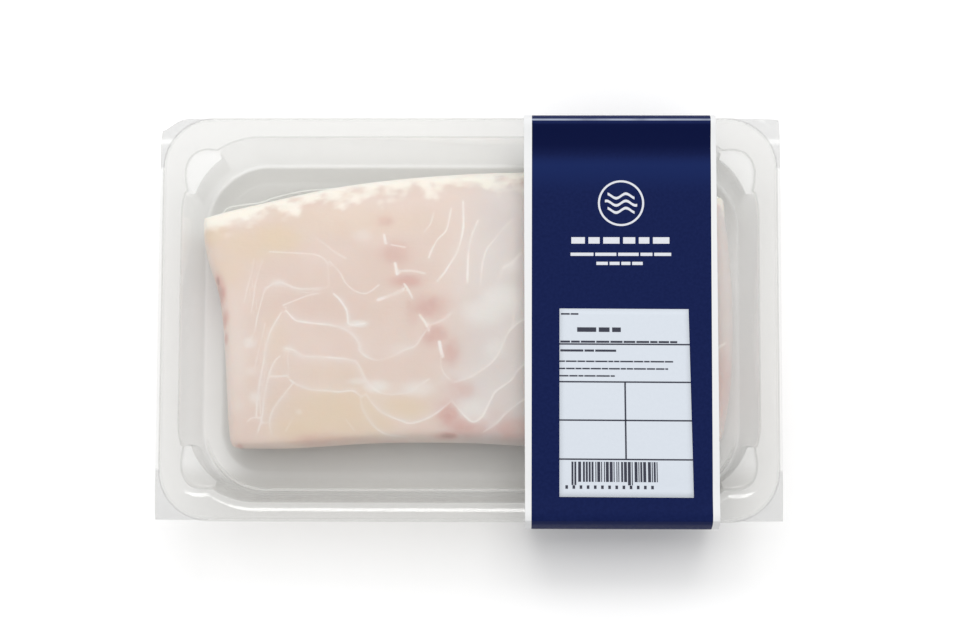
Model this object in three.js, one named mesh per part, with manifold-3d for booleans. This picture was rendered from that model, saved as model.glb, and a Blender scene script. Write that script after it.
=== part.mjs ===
// A retail pack of raw white fish: a clear formed tray, the clear film sealed on its rim, the fillet
// portion inside, a printed card sleeve round the pack, and a paper label on the sleeve.
// Millimetres, +Z up. X runs along the tray, the sleeve is right of the middle, and the origin is under
// the middle of the pack, where it stands.
import * as THREE from "three";
import { mergeVertices } from "three/addons/utils/BufferGeometryUtils.js";
import Module from "manifold-3d";

const wasm = await Module();
wasm.setup();

// ---- driving dimensions ----

const cardThickness = 0.4; // sleeve board
const restGap = 0.1; // air left between two pieces that lie on each other

const trayLength = 230;
const trayWidth = 151;
const trayHeight = 39.5;
const trayWall = 0.5;
const rimWidth = 7.5;
const rimCornerRadius = 19;
const lipDrop = 1.6; // the rim's outer edge is turned down by this much
const lipRound = 0.5;
const mouthCornerRadius = 29;
const wallDraft = 4.2; // how far the wall leans in between the mouth and the foot
const footRadius = 2;
const channelInset = 10.7; // from the mouth's edge to the floor's raised middle
const panelRise = 1.2;
const panelFlank = 1.8; // width of the slope round the raised middle
const cornerSteps = 6; // each quarter turn has twice as many facets

const lugDepth = 4; // shelf of a stacking lug below the rim
const lugShelfRadius = 25.6; // its inner edge, about the centre of the mouth's corner
const lugStartAngle = 17.5; // degrees from the end of the tray
const lugEndAngle = 56;
const lugReachX = 1.8; // the pocket's sides, inwards from the mouth's long and short edges
const lugReachY = 3.4;

const filmThickness = 0.2;
const filmLength = 231.6;
const filmWidth = 150;
const tabFall = 0.35; // slope of the loose film corners, past the rim's round corner
const tabFlat = 3; // they lie level for this far first

const sleeveWidth = 71.7;
const sleeveLeft = 20.6; // the sleeve's left edge in X
const sleeveFoot = 64.5; // half the width of the panel that the pack stands on

const labelWidth = 48.6;
const labelLength = 70.2;
const labelLeft = 33.3;
const labelTop = 4.3; // its upper edge in Y
const labelThickness = 0.15;

const fishCrown = 31; // height of the thickest flesh above the table
const fishWaist = 15; // height of the widest outline
const fishFallY = 4.5; // how much lower the top is at the long edges
const fishFallX = 2; // and at the two ends
const fishRound = 11; // width of the rounded shoulder
const flakePitch = 12; // from one flake's seam to the next
const flakeStep = 0.6; // each flake climbs by this much, then drops to the next seam
const flakeRise = 0.62; // share of the pitch that climbs
const fishCentre = new THREE.Vector2(-0.3, 3.9);
const fishGap = 0.3;
const fishColumns = 58;
const fishRows = 32;

// ---- levels ----

const floorUnder = cardThickness + restGap;
const floorTop = floorUnder + trayWall;
const panelTop = floorTop + panelRise;
const rimTop = floorUnder + trayHeight;
const filmUnder = rimTop + restGap / 2;
const filmTop = filmUnder + filmThickness;
const shelfZ = rimTop - lugDepth;
const rimHalfX = trayLength / 2;
const rimHalfY = trayWidth / 2;
const mouthHalfX = rimHalfX - rimWidth;
const mouthHalfY = rimHalfY - rimWidth;

// ---- from three.js geometry to a solid and back ----

function solidOf(geometry) {
  const bare = geometry.clone();
  bare.deleteAttribute("normal");
  bare.deleteAttribute("uv");
  const merged = mergeVertices(bare, 1e-4);
  return new wasm.Manifold(
    new wasm.Mesh({
      numProp: 3,
      vertProperties: merged.attributes.position.array,
      triVerts: new Uint32Array(merged.index.array),
    }),
  );
}

function geometryOf(solid) {
  const mesh = solid.getMesh();
  const geometry = new THREE.BufferGeometry();
  geometry.setAttribute("position", new THREE.BufferAttribute(mesh.vertProperties, 3));
  geometry.setIndex(new THREE.BufferAttribute(mesh.triVerts, 1));
  return geometry;
}

// A closed mesh from a list of THREE.Vector3 and a flat list of triangle corners.
function meshOf(points, triangles) {
  const geometry = new THREE.BufferGeometry().setFromPoints(points);
  geometry.setIndex(triangles);
  return geometry;
}

// ---- rounded rectangles ----

function roundedShape(halfX, halfY, radius) {
  const shape = new THREE.Shape();
  const x = halfX - radius;
  const y = halfY - radius;
  const quarter = Math.PI / 2;
  shape.absarc(x, y, radius, 0, quarter);
  shape.absarc(-x, y, radius, quarter, 2 * quarter);
  shape.absarc(-x, -y, radius, 2 * quarter, 3 * quarter);
  shape.absarc(x, -y, radius, 3 * quarter, 4 * quarter);
  return shape;
}

// A solid through one rounded rectangle for each step {inset, z}, lowest first. Its corners share one centre.
function roundedLoft(halfX, halfY, radius, steps) {
  const points = [];
  for (const { inset, z } of steps) {
    const ring = roundedShape(halfX - inset, halfY - inset, radius - inset).getPoints(cornerSteps);
    for (const p of ring) points.push(new THREE.Vector3(p.x, p.y, z));
  }
  const around = points.length / steps.length;
  const lowest = points.push(new THREE.Vector3(0, 0, steps[0].z)) - 1;
  const highest = points.push(new THREE.Vector3(0, 0, steps.at(-1).z)) - 1;
  const triangles = [];
  for (let i = 0; i < around; i++) {
    const next = (i + 1) % around;
    triangles.push(lowest, next, i);
    for (let k = 0; k < steps.length - 1; k++) {
      const low = k * around;
      const high = low + around;
      triangles.push(low + i, low + next, high + next, low + i, high + next, high + i);
    }
    const last = (steps.length - 1) * around;
    triangles.push(highest, last + i, last + next);
  }
  return solidOf(meshOf(points, triangles));
}

// A flat outline made solid between two heights.
function prism(shape, fromZ, toZ, curveSteps = 8) {
  const geometry = new THREE.ExtrudeGeometry(shape, {
    depth: toZ - fromZ,
    bevelEnabled: false,
    curveSegments: curveSteps,
  });
  return solidOf(geometry.translate(0, 0, fromZ));
}

// ---- tray ----

// The wall from the floor's edge round the foot and up. skin is 0 for the inside, the wall for the outside.
function wallSteps(skin, topZ) {
  const footSteps = 5;
  const steps = [];
  for (let i = 0; i <= footSteps; i++) {
    const turn = ((i / footSteps) * Math.PI) / 2;
    steps.push({
      inset: wallDraft + footRadius - (footRadius + skin) * Math.sin(turn),
      z: floorTop + footRadius - (footRadius + skin) * Math.cos(turn),
    });
  }
  steps.push({ inset: -skin, z: topZ });
  return steps;
}

function cavity() {
  const steps = wallSteps(0, rimTop);
  steps.push({ inset: 0, z: rimTop + 1 });
  return roundedLoft(mouthHalfX, mouthHalfY, mouthCornerRadius, steps);
}

function outerWall() {
  const steps = wallSteps(trayWall, rimTop - trayWall / 2);
  return roundedLoft(mouthHalfX, mouthHalfY, mouthCornerRadius, steps);
}

// What the floor's raised middle fills, above the given level of the channel round it.
function floorPanel(levelZ) {
  const flankSteps = 4;
  const radius = mouthCornerRadius - channelInset;
  const steps = [{ inset: 0, z: levelZ - 1 }];
  for (let i = 0; i <= flankSteps; i++) {
    const share = i / flankSteps;
    const rise = 0.5 - 0.5 * Math.cos(Math.PI * share);
    steps.push({ inset: panelFlank * share, z: levelZ + panelRise * rise });
  }
  return roundedLoft(mouthHalfX - channelInset, mouthHalfY - channelInset, radius, steps);
}

// The flat rim with its rounded, turned-down edge.
function rim() {
  const plate = roundedLoft(rimHalfX, rimHalfY, rimCornerRadius, [
    { inset: 0, z: rimTop - lipDrop },
    { inset: 0, z: rimTop - lipRound },
    { inset: lipRound * 0.3, z: rimTop - lipRound * 0.3 },
    { inset: lipRound, z: rimTop },
  ]);
  const under = roundedLoft(rimHalfX, rimHalfY, rimCornerRadius, [
    { inset: trayWall, z: rimTop - lipDrop - 1 },
    { inset: trayWall, z: rimTop - lipRound - trayWall },
    { inset: trayWall + lipRound, z: rimTop - trayWall },
  ]);
  return plate.subtract(under);
}

// Outline of a stacking lug in the corner with the given signs, grown by a margin on every side.
// Its inner edge is an arc about the centre of the mouth's corner, and it bulges out into the rim.
function lugShape(signX, signY, grow) {
  const centreX = mouthHalfX - mouthCornerRadius;
  const centreY = mouthHalfY - mouthCornerRadius;
  const inner = lugShelfRadius - grow;
  const turn = grow / lugShelfRadius;
  const start = THREE.MathUtils.degToRad(lugStartAngle) - turn;
  const end = THREE.MathUtils.degToRad(lugEndAngle) + turn;
  const sideX = mouthHalfX - lugReachX + grow;
  const sideY = mouthHalfY - lugReachY + grow;
  const startX = centreX + inner * Math.cos(start);
  const startY = centreY + inner * Math.sin(start);
  const endX = centreX + inner * Math.cos(end);
  const endY = centreY + inner * Math.sin(end);
  const outline = new THREE.Shape();
  outline.moveTo(startX, startY);
  outline.quadraticCurveTo(sideX, startY, sideX, startY + 7);
  outline.quadraticCurveTo(sideX, sideY, sideX - 9, sideY);
  outline.quadraticCurveTo(endX, sideY, endX, endY);
  outline.absarc(centreX, centreY, inner, end, start, true);
  const corner = outline.getPoints(cornerSteps).map((p) => new THREE.Vector2(p.x * signX, p.y * signY));
  return new THREE.Shape(corner);
}

function lugs(grow, fromZ, toZ) {
  let all = null;
  for (const signX of [-1, 1]) {
    for (const signY of [-1, 1]) {
      const one = prism(lugShape(signX, signY, grow), fromZ, toZ);
      all = all ? all.add(one) : one;
    }
  }
  return all;
}

function tray() {
  const shell = outerWall()
    .subtract(floorPanel(floorUnder))
    .subtract(lugs(-trayWall, -1, shelfZ - trayWall))
    .add(lugs(trayWall, shelfZ - trayWall, rimTop - trayWall / 2))
    .add(rim());
  const hollow = cavity()
    .subtract(floorPanel(floorTop))
    .subtract(lugs(0, -1, shelfZ))
    .add(lugs(0, shelfZ, rimTop + 1));
  return geometryOf(shell.subtract(hollow));
}

// ---- film ----

// How far a point lies outside the rim's round corner.
function pastCorner(x, y) {
  const dx = Math.abs(x) - (rimHalfX - rimCornerRadius);
  const dy = Math.abs(y) - (rimHalfY - rimCornerRadius);
  return dx > 0 && dy > 0 ? Math.max(0, Math.hypot(dx, dy) - rimCornerRadius) : 0;
}

// Stations across the film: close together over the loose corners, none over the flat middle.
function filmStations(half) {
  const cornerCells = 8;
  const reach = 20;
  const stations = [];
  for (let i = 0; i <= cornerCells; i++) stations.push(half - reach + (reach * i) / cornerCells);
  return [...stations.map((s) => -s).reverse(), ...stations];
}

// A thin sheet on a grid of stations, with both faces alike and an edge wall all round.
function sheet(xs, ys, lift, thickness) {
  const points = [];
  for (const rise of [0, thickness]) {
    for (const y of ys) for (const x of xs) points.push(new THREE.Vector3(x, y, lift(x, y) + rise));
  }
  const columns = xs.length;
  const layer = columns * ys.length;
  const triangles = [];
  for (let j = 0; j < ys.length - 1; j++) {
    for (let i = 0; i < columns - 1; i++) {
      const a = j * columns + i;
      const b = a + 1;
      const c = b + columns;
      const d = a + columns;
      triangles.push(a, c, b, a, d, c);
      triangles.push(layer + a, layer + b, layer + c, layer + a, layer + c, layer + d);
    }
  }
  const edge = [];
  for (let i = 0; i < columns; i++) edge.push(i);
  for (let j = 1; j < ys.length; j++) edge.push(j * columns + columns - 1);
  for (let i = columns - 2; i >= 0; i--) edge.push((ys.length - 1) * columns + i);
  for (let j = ys.length - 2; j > 0; j--) edge.push(j * columns);
  edge.forEach((a, k) => {
    const b = edge[(k + 1) % edge.length];
    triangles.push(a, b, layer + b, a, layer + b, layer + a);
  });
  return meshOf(points, triangles);
}

function film() {
  const droop = (x, y) => filmUnder - tabFall * Math.max(0, pastCorner(x, y) - tabFlat);
  return sheet(filmStations(filmLength / 2), filmStations(filmWidth / 2), droop, filmThickness);
}

// ---- sleeve and label ----

// Right half of the sleeve's section, outside face, as the top panel and the side panel between two creases.
// The card stands up at its top crease, dips on to the film beside it, and bulges at the side.
const sleeveTopCurve = new THREE.SplineCurve([
  new THREE.Vector2(0, filmTop + 0.95),
  new THREE.Vector2(50, filmTop + 0.95),
  new THREE.Vector2(58, filmTop + 0.85),
  new THREE.Vector2(63.5, filmTop + 0.65),
  new THREE.Vector2(68, filmTop + 1.0),
  new THREE.Vector2(72.6, filmTop + 1.65),
  new THREE.Vector2(75.1, filmTop + 1.2),
]);
const sleeveSideCurve = new THREE.SplineCurve([
  new THREE.Vector2(75.1, filmTop + 1.2),
  new THREE.Vector2(76.6, filmTop - 2),
  new THREE.Vector2(77.8, filmTop - 10),
  new THREE.Vector2(76.2, filmTop - 20),
  new THREE.Vector2(71.2, filmTop - 31),
  new THREE.Vector2(sleeveFoot, 0),
]);

function sleeveHalf() {
  const top = sleeveTopCurve.getPoints(22);
  const side = sleeveSideCurve.getPoints(14);
  return [...top, ...side.slice(1)];
}

// Points of a closed outline moved in by a distance, each across the line through its two neighbours.
function movedIn(points, distance) {
  return points.map((p, i) => {
    const before = points.at(i - 1);
    const after = points[(i + 1) % points.length];
    const along = after.clone().sub(before).normalize();
    return new THREE.Vector2(p.x - along.y * distance, p.y + along.x * distance);
  });
}

// A section in Y and Z made solid along X.
function alongX(section, fromX, length) {
  const geometry = new THREE.ExtrudeGeometry(section, { depth: length, bevelEnabled: false });
  const turn = new THREE.Matrix4().makeBasis(
    new THREE.Vector3(0, 1, 0),
    new THREE.Vector3(0, 0, 1),
    new THREE.Vector3(1, 0, 0),
  );
  return geometry.applyMatrix4(turn).translate(fromX, 0, 0);
}

function sleeve() {
  const half = sleeveHalf();
  const otherHalf = half.slice(1).map((p) => new THREE.Vector2(-p.x, p.y));
  const around = [...otherHalf, ...half.reverse()].reverse();
  const counterclockwise = THREE.ShapeUtils.isClockWise(around) ? around.reverse() : around;
  const section = new THREE.Shape(counterclockwise);
  section.holes.push(new THREE.Path(movedIn(counterclockwise, cardThickness)));
  return alongX(section, sleeveLeft, sleeveWidth);
}

// Height of the card's outside face at a given distance from the pack's middle line.
const cardFace = sleeveTopCurve.getPoints(120);
function cardHeight(y) {
  const outer = cardFace.findIndex((p) => p.x >= Math.abs(y));
  const a = cardFace[Math.max(0, outer - 1)];
  const b = cardFace[outer];
  const share = b.x > a.x ? (Math.abs(y) - a.x) / (b.x - a.x) : 0;
  return THREE.MathUtils.lerp(a.y, b.y, share);
}

function label() {
  const steps = 14;
  const ys = [];
  for (let i = 0; i <= steps; i++) ys.push(labelTop - labelLength * (1 - i / steps));
  const onCard = (x, y) => cardHeight(y) + restGap;
  return sheet([labelLeft, labelLeft + labelWidth], ys, onCard, labelThickness);
}

// ---- fillet ----

// The four edges of the fillet's widest outline, seen from above.
const vectors = (pairs) => pairs.map(([x, y]) => new THREE.Vector2(x, y));
const fishTopEdge = new THREE.SplineCurve(
  vectors([
    [-100.8, 40.5], [-80.3, 46.5], [-49.3, 53.3], [-16.3, 57.2],
    [20.7, 58.9], [60.7, 57.9], [96.7, 48.9],
  ]),
);
const fishLowEdge = new THREE.SplineCurve(
  vectors([
    [-89.9, -47.4], [-67.3, -47.4], [-33.3, -45.3], [0.7, -45.3],
    [20.7, -46.3], [60.7, -47.6], [95.7, -44.1],
  ]),
);
const fishLeftEdge = new THREE.SplineCurve(
  vectors([
    [-89.9, -47.4], [-91.9, -40.1], [-94, -6.1],
    [-96.3, 11.9], [-100.3, 30.9], [-100.8, 40.5],
  ]),
);
const fishRightEdge = new THREE.SplineCurve(
  vectors([[95.7, -44.1], [99.3, -21.1], [99.9, 10.9], [96.7, 48.9]]),
);

// A place on the fillet from its shares of length and width, blended between the four edges.
function fishPlace(u, v) {
  const low = fishLowEdge.getPoint(u);
  const high = fishTopEdge.getPoint(u);
  const left = fishLeftEdge.getPoint(v);
  const right = fishRightEdge.getPoint(v);
  const corners = low.clone().lerp(high, v);
  const lowStraight = fishLowEdge.getPoint(0).lerp(fishLowEdge.getPoint(1), u);
  const highStraight = fishTopEdge.getPoint(0).lerp(fishTopEdge.getPoint(1), u);
  const across = left.clone().lerp(right, u);
  return corners.add(across).sub(lowStraight.lerp(highStraight, v));
}

// Middle line of the flesh, where the two muscle halves meet: its X at a given Y.
function middleLine(y) {
  return -11.3 - 0.22 * y + 4 * Math.sin(y / 17);
}

// The flakes meet along the level lines of this field: left of the middle line they run level and then
// turn down, right of it they rise. Whole values are seams.
function flakeField(x, y) {
  const aside = x - middleLine(y);
  if (aside < 0) return (y + 20 * (-aside / 62) ** 2.4 + 2 * Math.sin(aside / 9)) / flakePitch;
  return (y - 0.007 * aside ** 2 - 0.25 * aside + 2 * Math.sin(aside / 11)) / flakePitch;
}

// Height that flakes, the middle line and slow swells add to the smooth flesh.
function fleshRelief(x, y) {
  const flake = flakeField(x, y);
  const share = flake - Math.floor(flake);
  const slope = share < flakeRise ? share / flakeRise : (1 - share) / (1 - flakeRise);
  const step = flakeStep * (slope - 0.5);
  const valley = -0.9 * Math.exp(-(((x - middleLine(y)) / 5) ** 2));
  const swell = 0.35 * Math.sin(x / 13 + y / 19) * Math.cos(y / 15 - x / 31);
  return step + valley + swell;
}

// Rounded shoulder: 0 at the outline, 1 from its own width inwards.
function shoulder(distance) {
  const inwards = 1 - Math.min(1, distance / fishRound);
  return Math.pow(1 - inwards ** 2.4, 1 / 2.4);
}

function fishHeight(x, y, u, v) {
  const length = 195;
  const width = 100;
  const rounded =
    shoulder(u * length) * shoulder((1 - u) * length) * shoulder(v * width) * shoulder((1 - v) * width);
  const fallY = fishFallY * ((y - 5) / 48) ** 2;
  const fallX = fishFallX * (x / 98) ** 2;
  const top = fishCrown - fallY - fallX + fleshRelief(x, y);
  return THREE.MathUtils.lerp(fishWaist, top, rounded);
}

// Even steps drawn together towards both ends, where the shoulders are.
function crowded(i, count) {
  const even = i / count;
  return THREE.MathUtils.lerp(even, 0.5 - 0.5 * Math.cos(Math.PI * even), 0.55);
}

function fishSolid() {
  const points = [];
  for (let j = 0; j <= fishRows; j++) {
    for (let i = 0; i <= fishColumns; i++) {
      const u = crowded(i, fishColumns);
      const v = crowded(j, fishRows);
      const place = fishPlace(u, v);
      points.push(new THREE.Vector3(place.x, place.y, fishHeight(place.x, place.y, u, v)));
    }
  }
  const columns = fishColumns + 1;
  const triangles = [];
  for (let j = 0; j < fishRows; j++) {
    for (let i = 0; i < fishColumns; i++) {
      const a = j * columns + i;
      const d = a + columns;
      triangles.push(a, a + 1, d + 1, a, d + 1, d);
    }
  }
  let ring = [];
  for (let i = 0; i < fishColumns; i++) ring.push(i);
  for (let j = 0; j < fishRows; j++) ring.push(j * columns + fishColumns);
  for (let i = fishColumns; i > 0; i--) ring.push(fishRows * columns + i);
  for (let j = fishRows; j > 0; j--) ring.push(j * columns);
  // The side tucks in below the waist and lies on the raised middle of the tray's floor.
  const underside = panelTop + fishGap;
  const tucks = [
    { inset: 0.7, z: fishWaist * 0.55 },
    { inset: 2.6, z: underside + 2.7 },
    { inset: 5.5, z: underside },
  ];
  const waist = ring.map((index) => points[index]);
  for (const { inset, z } of tucks) {
    const lower = waist.map((p) => {
      const fromX = p.x - fishCentre.x;
      const fromY = p.y - fishCentre.y;
      const x = fishCentre.x + fromX * (1 - inset / 98);
      const y = fishCentre.y + fromY * (1 - inset / 52);
      return points.push(new THREE.Vector3(x, y, z)) - 1;
    });
    ring.forEach((a, k) => {
      const next = (k + 1) % ring.length;
      triangles.push(lower[k], lower[next], ring[next], lower[k], ring[next], a);
    });
    ring = lower;
  }
  const bottom = points.push(new THREE.Vector3(fishCentre.x, fishCentre.y, underside)) - 1;
  ring.forEach((a, k) => triangles.push(bottom, ring[(k + 1) % ring.length], a));
  return solidOf(meshOf(points, triangles));
}

// The fillet keeps a small gap to the tray's rounded foot, which it would otherwise press into.
function fillet() {
  const steps = wallSteps(-fishGap, rimTop);
  const room = roundedLoft(mouthHalfX, mouthHalfY, mouthCornerRadius, steps);
  return geometryOf(fishSolid().intersect(room));
}

// ---- the pack ----

function piece(name, geometry, settings) {
  const mesh = new THREE.Mesh(geometry, new THREE.MeshStandardMaterial(settings));
  mesh.name = name;
  return mesh;
}

const clear = { color: 0xeef1f0, roughness: 0.08, metalness: 0, transparent: true };

const pack = new THREE.Group();
pack.add(
  piece("tray", tray(), { ...clear, opacity: 0.3 }),
  piece("film", film(), { ...clear, opacity: 0.15 }),
  piece("fillet", fillet(), { color: 0xdecdc4, roughness: 0.32, metalness: 0 }),
  piece("sleeve", sleeve(), { color: 0x1b2451, roughness: 0.45, metalness: 0 }),
  piece("label", label(), { color: 0xd9e0ea, roughness: 0.55, metalness: 0 }),
);

export default pack;
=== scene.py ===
import math
import random

import bmesh
import bpy
import numpy as np
from mathutils import Euler, Matrix, Vector, noise


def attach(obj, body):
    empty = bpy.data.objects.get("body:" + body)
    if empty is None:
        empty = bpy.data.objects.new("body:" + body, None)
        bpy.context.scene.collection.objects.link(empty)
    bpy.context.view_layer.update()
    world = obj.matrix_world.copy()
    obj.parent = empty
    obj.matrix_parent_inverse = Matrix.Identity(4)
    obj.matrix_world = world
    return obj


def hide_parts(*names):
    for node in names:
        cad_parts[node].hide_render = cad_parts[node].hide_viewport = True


# A sealed pack of raw white fish: clear formed tray, clear lidding film, the fillet portion,
# a printed card sleeve and a paper label. Sizes in the dictionaries are in millimetres.
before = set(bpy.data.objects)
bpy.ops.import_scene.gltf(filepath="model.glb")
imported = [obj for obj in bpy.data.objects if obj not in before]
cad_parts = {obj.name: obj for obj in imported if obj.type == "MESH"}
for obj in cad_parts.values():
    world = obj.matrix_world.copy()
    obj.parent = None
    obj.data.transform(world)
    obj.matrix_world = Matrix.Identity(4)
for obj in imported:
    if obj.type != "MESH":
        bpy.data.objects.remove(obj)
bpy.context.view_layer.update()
mm = 0.001


def smoothStep(low, high, value):
    share = min(1.0, max(0.0, (value - low) / (high - low)))
    return share * share * (3 - 2 * share)


def blend(a, b, share):
    return a + (b - a) * share


# a smooth line through a few points
def curveThrough(points, perSpan=8):
    knots = [Vector(p) for p in points]
    knots = [knots[0] * 2 - knots[1]] + knots + [knots[-1] * 2 - knots[-2]]
    line = []
    for i in range(1, len(knots) - 2):
        before, start, end, after = knots[i - 1 : i + 3]
        for step in range(perSpan):
            t = step / perSpan
            bend = (2 * before - 5 * start + 4 * end - after) * t * t
            bend += (3 * start - before - 3 * end + after) * t * t * t
            line.append(start + ((end - before) * t + bend) * 0.5)
    line.append(knots[-2].copy())
    return line


# second value of a line of pairs whose first value grows
def heightOn(line, x):
    for a, b in zip(line, line[1:]):
        if x <= b[0]:
            share = (x - a[0]) / (b[0] - a[0]) if b[0] > a[0] else 0.0
            return blend(a[1], b[1], max(0.0, share))
    return line[-1][1]


def objectFrom(bm, name, *materials):
    for face in bm.faces:
        face.smooth = True
    mesh = bpy.data.meshes.new(name)
    bm.to_mesh(mesh)
    bm.free()
    piece = bpy.data.objects.new(name, mesh)
    bpy.context.scene.collection.objects.link(piece)
    for finish in materials:
        mesh.materials.append(finish)
    return piece


# the wall grows down or inwards from the modelled face
def giveWall(piece, thickness, inner=0, edge=0):
    shell = piece.modifiers.new("wall", "SOLIDIFY")
    shell.thickness = thickness * mm
    shell.offset = -1
    shell.material_offset = inner
    shell.material_offset_rim = edge


def applyModifiers(piece):
    view = bpy.context.evaluated_depsgraph_get()
    view.update()
    mesh = bpy.data.meshes.new_from_object(piece.evaluated_get(view))
    piece.modifiers.clear()
    piece.data = mesh


def faceUp(bm):
    # open sheets: normals agree, and the largest face looks up
    bmesh.ops.recalc_face_normals(bm, faces=bm.faces)
    largest = max(bm.faces, key=lambda face: face.calc_area())
    if largest.normal.z < 0:
        bmesh.ops.reverse_faces(bm, faces=bm.faces)


class Shading:
    # a new material and short ways to add its nodes
    def __init__(self, name):
        self.finish = bpy.data.materials.new(name)
        self.finish.use_nodes = True
        self.nodes = self.finish.node_tree.nodes
        self.links = self.finish.node_tree.links
        self.place = self.nodes.new("ShaderNodeTexCoord").outputs["Object"]
        self.surface = self.nodes["Principled BSDF"]
        self.output = self.nodes["Material Output"]

    def put(self, socket, value):
        if isinstance(value, bpy.types.NodeSocket):
            self.links.new(value, socket)
        elif isinstance(value, tuple) and len(value) == 3 and socket.type == "RGBA":
            socket.default_value = (*value, 1.0)
        else:
            socket.default_value = value

    def add(self, kind, settings=None, **sockets):
        made = self.nodes.new("ShaderNode" + kind)
        for name, value in (settings or {}).items():
            setattr(made, name, value)
        for name, value in sockets.items():
            self.put(made.inputs[name], value)
        return made

    def sum(self, operation, a, b=0.0, c=0.0, clamp=False):
        made = self.nodes.new("ShaderNodeMath")
        made.operation = operation
        made.use_clamp = clamp
        for socket, value in zip(made.inputs, (a, b, c)):
            self.put(socket, value)
        return made.outputs[0]

    def mix(self, share, a, b):
        made = self.nodes.new("ShaderNodeMix")
        made.data_type = "RGBA"
        for index, value in ((0, share), (6, a), (7, b)):
            self.put(made.inputs[index], value)
        return made.outputs[2]

    def noise(self, scale, detail=2.0, roughness=0.5, place=None):
        made = self.add("TexNoise", Scale=scale, Detail=detail, Roughness=roughness)
        self.links.new(place or self.place, made.inputs["Vector"])
        return made.outputs["Fac"]

    def range(self, value, low, high, toLow=0.0, toHigh=1.0):
        made = self.nodes.new("ShaderNodeMapRange")
        made.interpolation_type = "SMOOTHSTEP"
        for index, number in enumerate((value, low, high, toLow, toHigh)):
            self.put(made.inputs[index], number)
        return made.outputs[0]

    def bump(self, height, depth, after=None):
        made = self.add("Bump", Distance=depth * mm, Height=height)
        if after:
            self.links.new(after, made.inputs["Normal"])
        return made.outputs["Normal"]

    def stretched(self, x, y, z):
        return self.add("Mapping", Vector=self.place, Scale=(x, y, z)).outputs[0]

    def attribute(self, name, kind="Fac"):
        return self.add("Attribute", {"attribute_name": name}).outputs[kind]

    def set(self, **sockets):
        for name, value in sockets.items():
            self.put(self.surface.inputs[name.replace("_", " ")], value)


# the camera looks down, a little from the near side
camera = {
    "place": (21.0, -93.0, 940.0),
    "aim": (4.1, -0.7, 40.0),
    "lens": 91.35,
    "roll": 0.2,
}


def addCamera():
    data = bpy.data.cameras.new("camera")
    data.lens = camera["lens"]
    data.clip_end = 20
    viewer = bpy.data.objects.new("camera", data)
    viewer.location = Vector(camera["place"]) * mm
    look = (Vector(camera["aim"]) - Vector(camera["place"])).normalized()
    level = Euler((math.asin(look.y), math.atan2(-look.x, -look.z), 0.0)).to_matrix()
    roll = Matrix.Rotation(math.radians(camera["roll"]), 3, "Z")
    viewer.rotation_euler = (level @ roll).to_euler()
    bpy.context.scene.collection.objects.link(viewer)
    bpy.context.scene.camera = viewer


addCamera()
print("camera placed")


# thin clear sheet: light goes straight through, and more is mirrored at a slant. At its bends
# and loose corners the sheet takes painted grey shade, one attribute gives its deeper tint
# (painted shade on the tray's near wall and rim), and another whitens it where a highlight is
# painted in
def clearPlastic(name, look):
    shade = Shading(name)
    shade.nodes.remove(shade.surface)
    normal = shade.bump(shade.noise(look["rippleScale"]), look["rippleDepth"])
    slant = shade.add("LayerWeight", Blend=0.5).outputs["Facing"]
    bend = shade.attribute("bend")
    mirrored = shade.sum("POWER", slant, 5.0)
    mirrored = shade.sum("MULTIPLY_ADD", mirrored, look["slantMirror"], look["mirror"], clamp=True)
    hazeShadeAndGleam = shade.sum("POWER", slant, 2.0)
    hazeShadeAndGleam = shade.sum("MULTIPLY_ADD", hazeShadeAndGleam, look["slantHaze"], look["haze"])
    hazeShadeAndGleam = shade.sum("MULTIPLY_ADD", bend, look["bendShadeShare"], hazeShadeAndGleam)
    # deeper tint where the attribute asks: painted shade on the tray's near wall and rim, a darker tint on
    # its floor panel
    wet = shade.attribute("wet")
    tint = shade.mix(wet, look["tint"], look.get("darkTintAndShade", look["tint"]))
    through = shade.add("BsdfTransparent", Color=tint).outputs[0]
    # whiter haze where a highlight is painted in, along the foot of the near wall
    paintedHighlight = shade.attribute("paintedHighlight")
    hazeShadeAndGleam = shade.sum("MULTIPLY_ADD", paintedHighlight, look.get("highlightHaze", 0.0), hazeShadeAndGleam, clamp=True)
    # the sheet's own haze colour, turning to painted grey shade at bends
    hazeAndShadeColour = shade.mix(bend, look["hazeColour"], look["bendShadeColour"])
    cloud = shade.add("BsdfDiffuse", Color=hazeAndShadeColour).outputs[0]
    mirror = shade.add("BsdfGlossy", Roughness=look["roughness"], Normal=normal).outputs[0]
    body = shade.add("MixShader")
    for socket, value in zip(body.inputs, (hazeShadeAndGleam, through, cloud)):
        shade.links.new(value, socket)
    whole = shade.add("MixShader")
    for socket, value in zip(whole.inputs, (mirrored, body.outputs[0], mirror)):
        shade.links.new(value, socket)
    shade.links.new(whole.outputs[0], shade.output.inputs["Surface"])
    return shade.finish


trayLook = {
    "tint": (0.993, 0.993, 0.99),
    # deeper tint: painted shade on the near wall and rim, a darker tint on the floor panel
    "darkTintAndShade": (0.893, 0.89, 0.88),
    "mirror": 0.03,
    "slantMirror": 0.55,
    "haze": 0.012,
    "slantHaze": 0.13,
    "hazeColour": (0.82, 0.83, 0.82),
    # painted grey shade at the sheet's bends
    "bendShadeShare": 0.16,
    "bendShadeColour": (0.42, 0.42, 0.41),
    # share of whitish haze for the painted highlight
    "highlightHaze": 0.6,
    "roughness": 0.08,
    "rippleScale": 90.0,
    "rippleDepth": 0.06,
}
filmLook = {
    "tint": (0.97, 0.97, 0.969),
    "mirror": 0.035,
    "slantMirror": 0.4,
    "haze": 0.014,
    "slantHaze": 0.06,
    "hazeColour": (0.86, 0.87, 0.86),
    # painted grey shade on the film's loose corners
    "bendShadeShare": 0.25,
    "bendShadeColour": (0.5, 0.5, 0.5),
    "roughness": 0.1,
    "rippleScale": 40.0,
    "rippleDepth": 0.1,
}

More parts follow.
